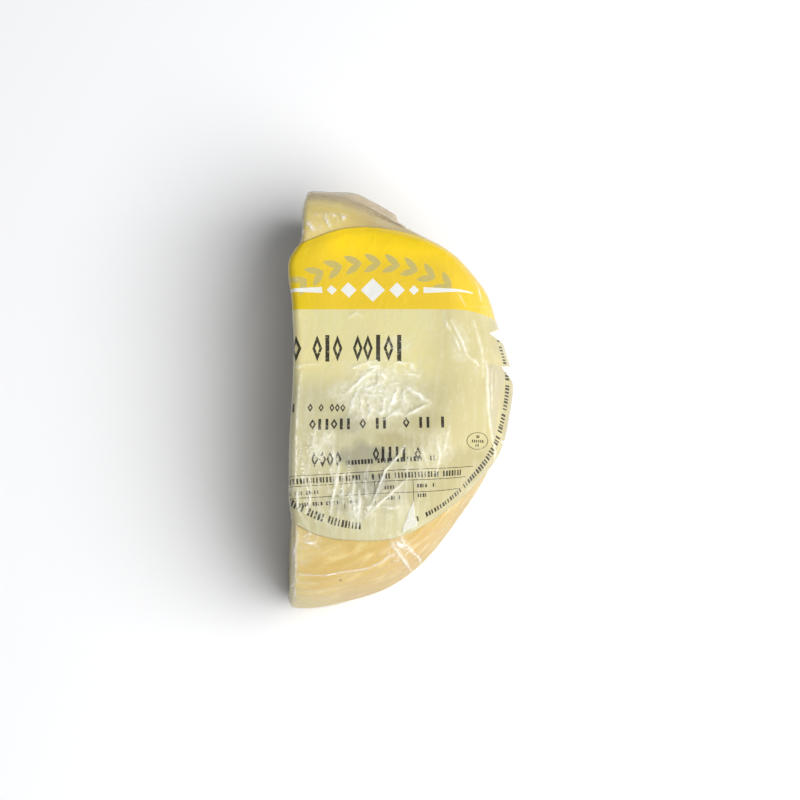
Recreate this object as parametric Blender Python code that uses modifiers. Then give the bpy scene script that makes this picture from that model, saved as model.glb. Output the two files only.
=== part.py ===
"""Half of a small round cheese, sealed in clear shrunk film, with one large round label.

The piece lies on its flat round face. Z is up, the straight cut face looks along -X and
the round side along +X. All lengths are in metres, and angles are measured about the
axis that the whole cheese would have had, from +X towards +Y.
"""

import math

import bmesh
import bpy
from mathutils import Vector, noise

# Driving dimensions of the sealed half cheese
HEIGHT = 0.060
RADIUS = 0.0750
AXIS_X = -0.0362
CUT_X = -0.0387
TOP_ROUND = 0.024
BASE_ROUND = 0.012
CUT_EDGE_ROUND = 0.0025

# Ridges that the cheese basket leaves round the rind
RIDGE_PITCH = 0.0042
RIDGE_DEPTH = 0.0007

# Round label, lying on the film and folded over the straight edge
LABEL_RADIUS = 0.0560
LABEL_X = -0.0099
LABEL_Y = 0.0007
LABEL_THICKNESS = 0.0003
LABEL_GAP = 0.0004

# How finely the pack is faceted: steps of a whole turn, of the cut's rounded edges, and
# the cells of its flat faces, which are smaller where the cut face steps back
TURN_STEPS = 88
EDGE_SEGMENTS = 3
FACE_CELL = 0.008
INSET_CELL = 0.0022

# How finely the label is faceted: its columns on the cut face, over the fold, on the top
# and on the rim, its rows, and how near its outermost columns come to its two sides
LABEL_FACE_CELL = 0.004
FOLD_STEPS = 4
LABEL_TOP_CELL = 0.0058
LABEL_RIM_CELL = 0.0024
LABEL_ROWS = 32
LABEL_END_ANGLE = math.radians(86)

# Slow unevenness: middle angle, half width and height of each swelling of the round side
SIDE_SWELLS = (
    (math.radians(-84), math.radians(10), 0.0006),
    (math.radians(-35), math.radians(36), -0.0032),
    (math.radians(6), math.radians(30), 0.0018),
    (math.radians(56), math.radians(24), -0.0044),
)
# The same for the straight face: place along Y, half width and how far it moves along +X
CUT_SWELLS = (
    (0.042, 0.014, -0.0010),
    (0.010, 0.036, 0.0012),
    (0.075, 0.010, 0.0010),
)
# Where the film and the label hold the upper rim out to a tighter curve: middle angle,
# half width, and how much less the rounding is there
BRIM = (math.radians(44), math.radians(34), 0.0160)

# Beyond the label the straight face is set back at one end, and at the other its foot
# flares out while its top leans in; both fade within a short reach behind the face
END_INSET = 0.0032
END_INSET_RAMP = (0.043, 0.054)
FOOT_FLARE = 0.0032
TOP_LEAN = 0.0008
FLARE_RAMP = (0.040, 0.050)
CUT_REACH = 0.035

# Crown of the top face, the height and waves per metre of the slow unevenness, and the
# share of the radius past which that reaches the side too
CROWN = 0.0009
UNEVEN_HEIGHT = 0.0006
UNEVEN_SCALE = 32.0
SIDE_SHARE = 0.7

# Flattened seam of the film along the upper rim: its ends, its tapers, how far it
# reaches in from the side, the heights between which it fades in, and how far it stands out
SEAM_FROM = math.radians(60)
SEAM_TO = math.radians(86)
SEAM_TIP = math.radians(1.5)
SEAM_TAIL = math.radians(12)
SEAM_WIDTH = 0.0025
SEAM_HEIGHTS = (0.028, 0.036)
SEAM_LIFT = 0.0013

# Pleats tucked into the film on the round side: the angle of the valley, how far the
# pleat reaches above and below it, and its depth
PLEATS = (
    (math.radians(18.8), math.radians(0.9), math.radians(4.6), 0.0038),
    (math.radians(6.4), math.radians(1.1), math.radians(1.4), 0.0015),
)
# Heights where a pleat begins under the top, where it is full, and where it has faded out
PLEAT_TOP = HEIGHT - 0.007
PLEAT_FULL = HEIGHT - 0.016
PLEAT_FADE = (0.010, 0.028)
# How much wider than the pleat the label's notch is
NOTCH_SPREAD = 1.2

# Lengths of the rounded edges, where the label's fold begins, as a distance from the
# axis, and the angle past which the rim's rounding no longer changes
BASE_ARC = BASE_ROUND * math.pi / 2
EDGE_ARC = CUT_EDGE_ROUND * math.pi / 2
FOLD_X = CUT_X - AXIS_X + CUT_EDGE_ROUND
NEAR_CUT = math.radians(76)

# Tolerances: points closer than WELD are one, points closer than ON_PLANE to a scoring
# plane lie on it, a normal whose part along an axis is over SQUARE faces that way, and
# one whose part is under SKEW runs across it
WELD = 0.00001
ON_PLANE = 0.00005
SQUARE = 0.9999
SKEW = 0.001
SHARP_ANGLE = math.radians(40)


def smooth_step(low, high, value):
    """0 up to low, 1 from high on, and a smooth ramp between."""
    t = min(max((value - low) / (high - low), 0.0), 1.0)
    return t * t * (3 - 2 * t)


def swell(value, middle, half_width, height):
    """A rounded swelling of the given height that ends at middle +- half_width."""
    t = min(abs(value - middle) / half_width, 1.0)
    return height * (1 + math.cos(math.pi * t)) / 2


def rim_shape(angle):
    """Radius of the round side, and rounding of the upper rim, at this angle."""
    radius = RADIUS + sum(swell(angle, *side) for side in SIDE_SWELLS)
    return radius, TOP_ROUND - swell(angle, *BRIM)


def skin_length(radius, rounding):
    """Way from the axis over the top and down the side to where the lower rim begins."""
    return radius - rounding + rounding * math.pi / 2 + HEIGHT - rounding - BASE_ROUND


def rind(way, radius=RADIUS, rounding=TOP_ROUND):
    """Radius, height and outward direction after going this way from the axis, over the
    flat top, round the rim, down the side and round the lower rim."""
    flat = radius - rounding
    if way <= flat:
        return way, HEIGHT, 0.0, 1.0
    turn = (way - flat) / rounding
    if turn <= math.pi / 2:
        across, up = math.sin(turn), math.cos(turn)
        return flat + rounding * across, HEIGHT - rounding * (1 - up), across, up
    past_side = way - skin_length(radius, rounding)
    if past_side <= 0:
        return radius, BASE_ROUND - past_side, 1.0, 0.0
    turn = min(past_side / BASE_ROUND, math.pi / 2)
    across, down = math.cos(turn), math.sin(turn)
    return radius - BASE_ROUND * (1 - across), BASE_ROUND * (1 - down), across, -down


def place_on_rind(radius, height):
    """The way from the axis, and the height over the skin, of a point of the even half."""
    flat = RADIUS - TOP_ROUND
    side_top = HEIGHT - TOP_ROUND
    if height < side_top:
        return flat + TOP_ROUND * math.pi / 2 + side_top - height, radius - RADIUS
    if radius < flat:
        return radius, height - HEIGHT
    turn = math.atan2(radius - flat, height - side_top)
    return flat + TOP_ROUND * turn, math.hypot(radius - flat, height - side_top) - TOP_ROUND


def follow_rim(point):
    """Moves a point of the evenly turned half to the uneven rim at its angle."""
    a, b, z = point
    even_radius = math.hypot(a, b)
    angle = math.atan2(b, a)
    radius, rounding = rim_shape(angle)
    if z < BASE_ROUND or abs(angle) > NEAR_CUT:
        scale = radius / RADIUS
        return Vector((a * scale, b * scale, z))
    way, lift = place_on_rind(even_radius, z)
    way *= skin_length(radius, rounding) / skin_length(RADIUS, TOP_ROUND)
    new_radius, height, across, up = rind(way, radius, rounding)
    new_radius += lift * across
    return Vector((new_radius * math.cos(angle), new_radius * math.sin(angle), height + lift * up))


def film_relief(point):
    """Raises the seam and sinks the pleats of the film, on the round side only."""
    a, b, z = point
    radius = math.hypot(a, b)
    angle = math.atan2(b, a)
    from_side = rim_shape(angle)[0] - radius
    along = smooth_step(SEAM_FROM, SEAM_FROM + SEAM_TIP, angle)
    along *= 1 - smooth_step(SEAM_TO - SEAM_TAIL, SEAM_TO, angle)
    across = 1 - smooth_step(0, SEAM_WIDTH, from_side)
    outward = SEAM_LIFT * along * across * smooth_step(*SEAM_HEIGHTS, z)

    down = smooth_step(-PLEAT_TOP, -PLEAT_FULL, -z) * smooth_step(*PLEAT_FADE, z)
    for valley, above, below, depth in PLEATS:
        reach = above if angle > valley else below
        outward -= depth * down * max(1 - abs(angle - valley) / reach, 0)
    return Vector((a + outward * math.cos(angle), b + outward * math.sin(angle), z))


def settle(point):
    """Moves a point of the even piece to where the sagging, uneven real one has it."""
    a, b, z = point
    radius = math.hypot(a, b)
    angle = math.atan2(b, a)
    rise = z / HEIGHT
    share = radius / RADIUS

    near_cut = 1 - smooth_step(0, CUT_REACH, a - (CUT_X - AXIS_X))
    inward = sum(swell(b, *face) for face in CUT_SWELLS)
    inward += END_INSET * smooth_step(*END_INSET_RAMP, b)
    flare = TOP_LEAN * rise - FOOT_FLARE * (1 - rise)
    inward += flare * smooth_step(*FLARE_RAMP, -b)

    uneven = UNEVEN_HEIGHT * noise.noise(Vector((a, b, z)) * UNEVEN_SCALE)
    lift = rise * (CROWN * (1 - share * share) + uneven)
    side = smooth_step(SIDE_SHARE, 1.0, share) * uneven
    return Vector(
        (
            a + near_cut * inward + side * math.cos(angle),
            b + side * math.sin(angle),
            z + lift,
        )
    )


def new_object(name, mesh, collection):
    piece = bpy.data.objects.new(name, mesh)
    collection.objects.link(piece)
    return piece


def rind_profile():
    """Crests and troughs of the basket ridges, from the top face to the base."""
    start = RADIUS - TOP_ROUND
    length = skin_length(RADIUS, TOP_ROUND) + BASE_ARC - start
    count = 2 * round(length / RIDGE_PITCH)
    points = []
    for step in range(count + 1):
        radius, height, across, up = rind(start + length * step / count)
        depth = RIDGE_DEPTH if step % 2 and step < count - 2 else 0
        points.append((radius - depth * across, 0, height - depth * up))
    return points


def turned_rind(collection):
    """The open ring of rind as a turned profile, returned as a bmesh."""
    points = rind_profile()
    mesh = bpy.data.meshes.new("rind_profile")
    mesh.from_pydata(points, [(i, i + 1) for i in range(len(points) - 1)], [])
    profile = new_object("rind_profile", mesh, collection)
    screw = profile.modifiers.new("Turn", "SCREW")
    screw.axis = "Z"
    screw.steps = TURN_STEPS
    screw.render_steps = TURN_STEPS
    screw.use_merge_vertices = True
    screw.merge_threshold = WELD
    graph = bpy.context.evaluated_depsgraph_get()
    turned = bpy.data.meshes.new_from_object(profile.evaluated_get(graph))
    bm = bmesh.new()
    bm.from_mesh(turned)
    bpy.data.objects.remove(profile)
    bpy.data.meshes.remove(turned)
    return bm


def close_openings(bm):
    """Closes each open loop with one face, and returns the new faces."""
    open_edges = [edge for edge in bm.edges if edge.is_boundary]
    return bmesh.ops.edgeloop_fill(bm, edges=open_edges)["faces"]


def cut_in_half(bm):
    """Cuts the ring along the straight face, closes it and rounds the cut's edges."""
    everything = bm.verts[:] + bm.edges[:] + bm.faces[:]
    bmesh.ops.bisect_plane(
        bm,
        geom=everything,
        dist=WELD,
        plane_co=(CUT_X - AXIS_X, 0, 0),
        plane_no=(-1, 0, 0),
        clear_outer=True,
    )
    face = close_openings(bm)[0]
    bmesh.ops.recalc_face_normals(bm, faces=bm.faces[:])
    bmesh.ops.bevel(
        bm,
        geom=face.edges[:],
        offset=CUT_EDGE_ROUND,
        offset_type="OFFSET",
        segments=EDGE_SEGMENTS,
        profile=0.5,
        affect="EDGES",
        material=-1,
    )


def score(bm, wanted, normal, places):
    """Adds straight edges at these places along normal, on the faces that are wanted."""
    for place in places:
        faces = [face for face in bm.faces if wanted(face)]
        edges = {edge for face in faces for edge in face.edges}
        corners = {corner for face in faces for corner in face.verts}
        bmesh.ops.bisect_plane(
            bm,
            geom=faces + list(edges) + list(corners),
            dist=ON_PLANE,
            plane_co=normal * place,
            plane_no=normal,
        )


def looks_up(face):
    return face.normal.z > SQUARE


def looks_back(face):
    return face.normal.x < -SQUARE


def lies_along_cut(face):
    """The top, the cut face and the rounded edges between them and under them."""
    return abs(face.normal.y) < SKEW and face.normal.x < SKEW and face.normal.z > -SQUARE


def is_round_side(face):
    return abs(face.normal.z) < SQUARE and face.calc_center_median().x > 0


def score_pleats(bm):
    """Adds an edge from top to base at the middle and both sides of each pleat."""
    for valley, above, below, _ in PLEATS:
        for angle in (valley - below, valley, valley + above):
            across = Vector((-math.sin(angle), math.cos(angle), 0))
            score(bm, is_round_side, across, [0])


def steps_between(low, high, cell):
    """Evenly spaced places strictly between low and high, about one cell apart."""
    count = max(round((high - low) / cell), 1)
    return [low + (high - low) * i / count for i in range(1, count)]


def make_pack(collection):
    """The half cheese in its film, as one closed body."""
    bm = turned_rind(collection)
    close_openings(bm)
    cut_in_half(bm)
    across_x = steps_between(CUT_X - AXIS_X, RADIUS, FACE_CELL)
    across_y = steps_between(-RADIUS, RADIUS, FACE_CELL)
    across_y += steps_between(*END_INSET_RAMP, INSET_CELL)
    across_z = steps_between(0, HEIGHT, FACE_CELL)
    score(bm, looks_up, Vector((1, 0, 0)), across_x)
    score(bm, lies_along_cut, Vector((0, 1, 0)), across_y)
    score(bm, looks_back, Vector((0, 0, 1)), across_z)
    score_pleats(bm)
    for corner in bm.verts:
        corner.co = settle(film_relief(follow_rim(corner.co)))
    bmesh.ops.translate(bm, verts=bm.verts, vec=(AXIS_X, 0, 0))
    bmesh.ops.triangulate(bm, faces=bm.faces[:])
    mesh = bpy.data.meshes.new("film_pack")
    bm.to_mesh(mesh)
    bm.free()
    mesh.shade_smooth()
    mesh.set_sharp_from_angle(angle=SHARP_ANGLE)
    return new_object("film_pack", mesh, collection)


def on_skin(a, b, lift):
    """Where a point of the flat label comes to lie, at this height over the film.

    a and b are flat distances from the axis along X and Y. The label follows the top and
    the rounded rim, and past the straight edge it folds down the cut face.
    """
    on_top = max(a, FOLD_X)
    radius, height, across, up = rind(
        math.hypot(on_top, b), *rim_shape(math.atan2(b, on_top))
    )
    along = Vector((on_top, b, 0)).normalized()
    top = along * (radius + lift * across) + Vector((0, 0, height + lift * up))
    if a >= FOLD_X:
        return top
    past = FOLD_X - a
    turn = min(past / CUT_EDGE_ROUND, math.pi / 2)
    reach = CUT_EDGE_ROUND + lift
    straight = max(past - EDGE_ARC, 0)
    down = reach * (1 - math.cos(turn)) + straight
    return top + Vector((-reach * math.sin(turn), 0, -down))


def label_columns():
    """Places of the label's columns across X, closer together where it bends."""
    middle = LABEL_X - AXIS_X
    half = LABEL_RADIUS * math.sin(LABEL_END_ANGLE)
    rim = RADIUS - TOP_ROUND
    bend = [FOLD_X - EDGE_ARC * i / FOLD_STEPS for i in range(FOLD_STEPS, -1, -1)]
    columns = [middle - half]
    columns += steps_between(middle - half, bend[0], LABEL_FACE_CELL) + bend
    columns += steps_between(FOLD_X, rim, LABEL_TOP_CELL) + [rim]
    return columns + steps_between(rim, middle + half, LABEL_RIM_CELL) + [middle + half]


def make_label(collection):
    """The round label as a thin sheet laid over the film."""
    columns = label_columns()
    bm = bmesh.new()
    bmesh.ops.create_grid(
        bm, x_segments=len(columns) - 1, y_segments=LABEL_ROWS, size=1.0
    )
    for corner in bm.verts:
        column = round((corner.co.x + 1) / 2 * (len(columns) - 1))
        a = columns[column]
        out = a - (LABEL_X - AXIS_X)
        half_height = math.sqrt(LABEL_RADIUS**2 - out**2)
        b = LABEL_Y + half_height * math.sin(corner.co.y * math.pi / 2)
        corner.co = settle(on_skin(a, b, LABEL_GAP))
    bmesh.ops.translate(bm, verts=bm.verts, vec=(AXIS_X, 0, 0))
    mesh = bpy.data.meshes.new("label")
    bm.to_mesh(mesh)
    bm.free()
    mesh.shade_smooth()
    label = new_object("label", mesh, collection)
    thicken = label.modifiers.new("Thickness", "SOLIDIFY")
    thicken.thickness = LABEL_THICKNESS
    thicken.offset = 1
    return label


def notch_label(label, cutters):
    """Cuts the label back where its edge dips into each pleat of the film."""
    for number, (valley, above, below, depth) in enumerate(PLEATS, 1):
        inner = RADIUS - depth
        outer = RADIUS + depth + LABEL_GAP
        corners = (
            (inner, valley),
            (outer, valley - NOTCH_SPREAD * below),
            (outer, valley + NOTCH_SPREAD * above),
        )
        bm = bmesh.new()
        ring = [
            bm.verts.new((AXIS_X + r * math.cos(turn), r * math.sin(turn), BASE_ROUND))
            for r, turn in corners
        ]
        face = bm.faces.new(ring)
        raised = bmesh.ops.extrude_face_region(bm, geom=[face])["geom"]
        top = [item for item in raised if isinstance(item, bmesh.types.BMVert)]
        bmesh.ops.translate(bm, verts=top, vec=(0, 0, HEIGHT))
        bmesh.ops.recalc_face_normals(bm, faces=bm.faces[:])
        mesh = bpy.data.meshes.new(f"notch_{number}")
        bm.to_mesh(mesh)
        bm.free()
        cutter = new_object(f"notch_{number}", mesh, cutters)
        cutter.hide_render = True
        cutter.display_type = "WIRE"
        cut = label.modifiers.new(f"Notch {number}", "BOOLEAN")
        cut.operation = "DIFFERENCE"
        cut.object = cutter


def centre_on_base(pieces, cutters):
    """Moves the meshes so that the whole stands over the origin."""
    corners = [corner.co for piece in pieces for corner in piece.data.vertices]
    middle = [(min(c[i] for c in corners) + max(c[i] for c in corners)) / 2 for i in (0, 1)]
    middle = Vector((*middle, min(corner.z for corner in corners)))
    for piece in [*pieces, *cutters]:
        for corner in piece.data.vertices:
            corner.co -= middle


def plain_material(name, colour, roughness):
    material = bpy.data.materials.new(name)
    material.use_nodes = True
    shader = material.node_tree.nodes["Principled BSDF"]
    shader.inputs["Base Color"].default_value = (*colour, 1)
    shader.inputs["Roughness"].default_value = roughness
    shader.inputs["Metallic"].default_value = 0
    return material


def main():
    for old in list(bpy.data.objects):
        bpy.data.objects.remove(old)
    scene = bpy.context.scene
    pieces = bpy.data.collections.new("half_cheese")
    cutters = bpy.data.collections.new("cutters")
    scene.collection.children.link(pieces)
    scene.collection.children.link(cutters)

    pack = make_pack(pieces)
    label = make_label(pieces)
    notch_label(label, cutters)
    centre_on_base([pack, label], cutters.objects)
    pack.data.materials.append(plain_material("cheese in film", (0.80, 0.62, 0.27), 0.25))
    label.data.materials.append(plain_material("label", (0.90, 0.80, 0.40), 0.35))


main()
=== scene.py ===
"""Looks of the vacuum-packed half cheese: the cheese, its clear shrunk film and its label.

Z is up, the straight cut face looks along -X and the round side along +X. Lengths are in
metres, and angles round the upright axis are in degrees from +X. The label's own drawing and
its creases are in millimetres from its centre, with P to the right and Q up, as if it lay flat.
"""

import math

import bmesh
import bpy
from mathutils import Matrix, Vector, noise


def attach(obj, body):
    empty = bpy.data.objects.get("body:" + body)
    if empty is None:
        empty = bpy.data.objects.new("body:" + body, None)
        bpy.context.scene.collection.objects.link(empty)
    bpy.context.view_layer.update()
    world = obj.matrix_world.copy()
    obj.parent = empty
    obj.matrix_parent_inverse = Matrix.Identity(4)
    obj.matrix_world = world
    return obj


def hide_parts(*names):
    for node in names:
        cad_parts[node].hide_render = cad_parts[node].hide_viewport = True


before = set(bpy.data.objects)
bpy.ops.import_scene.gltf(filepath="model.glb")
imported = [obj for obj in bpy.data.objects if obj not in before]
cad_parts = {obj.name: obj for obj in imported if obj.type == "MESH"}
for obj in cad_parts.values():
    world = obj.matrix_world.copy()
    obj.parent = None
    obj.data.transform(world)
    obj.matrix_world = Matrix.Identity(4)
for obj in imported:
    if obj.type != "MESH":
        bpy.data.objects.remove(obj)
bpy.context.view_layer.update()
# Without a seed of its own the noise that bends the creases would differ from run to run
NOISE_SEED = 1
noise.seed_set(NOISE_SEED)

MM = 0.001

# The sealed half cheese, about the upright axis that the whole cheese would have had
AXIS = Vector((-0.035576, 0.000101, 0))
HEIGHT = 0.060
RADIUS = 0.0750
CUT_A = -0.0025
TOP_ROUND = 0.024
BASE_ROUND = 0.012
CUT_EDGE_ROUND = 0.0025
RIDGE_PITCH = 0.0042
# Swellings of the round side and of the cut face: middle, half width and height
SIDE_SWELLS = ((-84, 10, 0.0006), (-35, 36, -0.0032), (6, 30, 0.0018), (56, 24, -0.0044))
CUT_SWELLS = ((0.042, 0.014, -0.0010), (0.010, 0.036, 0.0012), (0.075, 0.010, 0.0010))
# Where the upper rim is less rounded, and how the ends and the top depart from an even half
BRIM = (44, 34, 0.0160)
END_INSET = 0.0032
END_INSET_RAMP = (0.043, 0.054)
FOOT_FLARE = 0.0032
TOP_LEAN = 0.0008
FLARE_RAMP = (0.040, 0.050)
CUT_REACH = 0.035
CROWN = 0.0009
UNEVEN_HEIGHT = 0.0006
UNEVEN_SCALE = 32.0
SIDE_SHARE = 0.7
# The film's seam along the upper rim: its ends, its tapers, width, height and lift
SEAM_FROM = 60
SEAM_TO = 86
SEAM_TIP = 2
SEAM_TAIL = 12
SEAM_WIDTH = 0.0025
SEAM_HEIGHTS = (0.028, 0.036)
SEAM_LIFT = 0.0018
# Pleats in the round side: the valley, its reach above and below, and its depth
PLEATS = ((15.8, 2.2, 4.4, 0.0048), (6.0, 0.8, 4.2, 0.0026), (-14.5, 0.9, 0.7, 0.0010))
PLEAT_TOP = HEIGHT - 0.007
PLEAT_FULL = HEIGHT - 0.016
PLEAT_FOOT = (0.001, 0.006)
PLEAT_DENT = 7
DENT_SHARE = 1.15
# Under the label's right edge the side is tucked in, and the edge stands out
TUCK = (6, 24, 0.0030)
TUCK_FOOT = (0, 0.012)
TUCK_HEIGHTS = (0.036, 0.047)
LABEL_FLARES = ((-16, 14, 0.0020), (0, 13, 0.0012), (27, 9, 0.0012))
FLARE_FROM = 0.80
# The basket's ridges begin at the rim and end at the foot, and they are worn off the rim
# at the far end, above the label
RIDGES_FROM = (RADIUS - TOP_ROUND, RADIUS - TOP_ROUND + 0.004)
RIDGES_FOOT = (0.002, 0.006)
WORN_FROM = (0.044, 0.058)
WORN_ABOVE = (0.034, 0.046)
WORN_SHARE = 0.8
# Beyond this angle, near the cut, the rim is only scaled. The cut's rounded edge has this
# length, and the flat top begins beside it
NEAR_CUT = 76
EDGE_ARC = CUT_EDGE_ROUND * math.pi / 2
FOLD_A = CUT_A + CUT_EDGE_ROUND

# The label's size and the place of its centre in the flat, unfolded skin
LABEL_RADIUS = 0.0568
LABEL_A = 0.0263
LABEL_B = 0.0007
LABEL_LIFT = 0.00055
LABEL_THICKNESS = 0.00012
LABEL_CELLS = 212
NOTCH_SPREAD = 1.2
NOTCH_MARGIN = 0.002
NOTCH_REACH = 0.012
# Where the shrunk film has pulled the label's edge in or let it out, by the angle round it.
# From these shares of its radius on, the edge is pulled, and the sheet lies flatter
EDGE_PULLS = ((-62, 24, -0.030), (-36, 16, 0.018), (-112, 20, 0.024))
PULLED_FROM = 0.88
FLATTER_FROM = 0.94
FLATTER = 0.6

FILM_CELL = 0.00078
FILM_THICKNESS = 0.00012
FILM_SAG = 0.00015
FILM_CREASE = 0.70
FILM_RISE = (0, 0.004)
CHEESE_CELL = 0.0010
CHEESE_GAP = 0.0003
CHEESE_RIDGE = 0.00045
CHEESE_UNEVEN = 0.00012
CHEESE_GRAIN = 260
TURN_STEPS = 200
PROFILE_STEP = 0.0025
FOLD_STEPS = (64, 8)
FOLD_RAGGED = 0.30
FOLD_CROWN = 0.4
WELD = 1e-6

# Flat folds of film: places along each, in label millimetres, and half widths
LABEL_FLAP = ((14.3, -42.6, 0.08), (13.9, -45.6, 0.9), (13.6, -48.8, 1.7), (13.3, -52.7, 2.8))
FLAP_SLANT = 0.55
FOLD_LIFT = 0.0002
SEAM_BAND = (
    (-28.0, 75.6, 6.4),
    (-22.0, 75.3, 7.1),
    (-14.0, 74.3, 7.5),
    (-6.0, 72.7, 7.5),
    (1.0, 70.5, 6.9),
    (6.5, 66.8, 5.0),
    (10.5, 62.9, 2.9),
    (13.0, 60.0, 0.8),
)


def smooth_step(low, high, value):
    """0 up to low, 1 from high on, and a smooth ramp between."""
    t = min(max((value - low) / (high - low), 0.0), 1.0)
    return t * t * (3 - 2 * t)


def swell(value, middle, half_width, height):
    """A rounded swelling of the given height that ends at middle +- half_width."""
    t = min(abs(value - middle) / half_width, 1.0)
    return height * (1 + math.cos(math.pi * t)) / 2


def outwards(angle):
    """The level direction away from the upright axis, at this angle in radians."""
    return Vector((math.cos(angle), math.sin(angle), 0))


def turn_of(a, b):
    """The angle round the upright axis, in degrees."""
    return math.degrees(math.atan2(b, a))


def swells(value, rows):
    """All the swellings of a table together."""
    return sum(swell(value, *row) for row in rows)


def rim_shape(turn):
    """Radius of the round side, and rounding of the upper rim, at this angle."""
    return RADIUS + swells(turn, SIDE_SWELLS), TOP_ROUND - swell(turn, *BRIM)


def skin_length(radius, rounding):
    """Way from the axis over the top and down the side to where the lower rim begins."""
    return radius - rounding + rounding * math.pi / 2 + HEIGHT - rounding - BASE_ROUND


EVEN_LENGTH = skin_length(RADIUS, TOP_ROUND)


def rind(way, radius=RADIUS, rounding=TOP_ROUND):
    """Radius, height and outward direction after going this way from the axis, over the
    flat top, round the rim, down the side and round the lower rim."""
    flat = radius - rounding
    if way <= flat:
        return way, HEIGHT, 0.0, 1.0
    turn = (way - flat) / rounding
    if turn <= math.pi / 2:
        across, up = math.sin(turn), math.cos(turn)
        return flat + rounding * across, HEIGHT - rounding * (1 - up), across, up
    past_side = way - skin_length(radius, rounding)
    if past_side <= 0:
        return radius, BASE_ROUND - past_side, 1.0, 0.0
    turn = min(past_side / BASE_ROUND, math.pi / 2)
    across, down = math.cos(turn), math.sin(turn)
    return radius - BASE_ROUND * (1 - across), BASE_ROUND * (1 - down), across, -down


def place_on_rind(radius, height):
    """The way from the axis, and the height over the skin, of a point of the even half."""
    flat = RADIUS - TOP_ROUND
    side_top = HEIGHT - TOP_ROUND
    if height < side_top:
        return flat + TOP_ROUND * math.pi / 2 + side_top - height, radius - RADIUS
    if radius < flat:
        return radius, height - HEIGHT
    turn = math.atan2(radius - flat, height - side_top)
    return flat + TOP_ROUND * turn, math.hypot(radius - flat, height - side_top) - TOP_ROUND


def settle(point):
    """Moves a point of the even piece to where the sagging, uneven real one has it."""
    a, b, z = point
    radius = math.hypot(a, b)
    angle = math.atan2(b, a)
    rise = z / HEIGHT
    share = radius / RADIUS

    near_cut = 1 - smooth_step(0, CUT_REACH, a - CUT_A)
    inward = swells(b, CUT_SWELLS)
    inward += END_INSET * smooth_step(*END_INSET_RAMP, b)
    flare = TOP_LEAN * rise - FOOT_FLARE * (1 - rise)
    inward += flare * smooth_step(*FLARE_RAMP, -b)

    uneven = UNEVEN_HEIGHT * noise.noise(Vector((a, b, z)) * UNEVEN_SCALE)
    lift = rise * (CROWN * (1 - share * share) + uneven)
    side = smooth_step(SIDE_SHARE, 1.0, share) * uneven
    return Vector((a + near_cut * inward, b, z + lift)) + side * outwards(angle)


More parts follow.
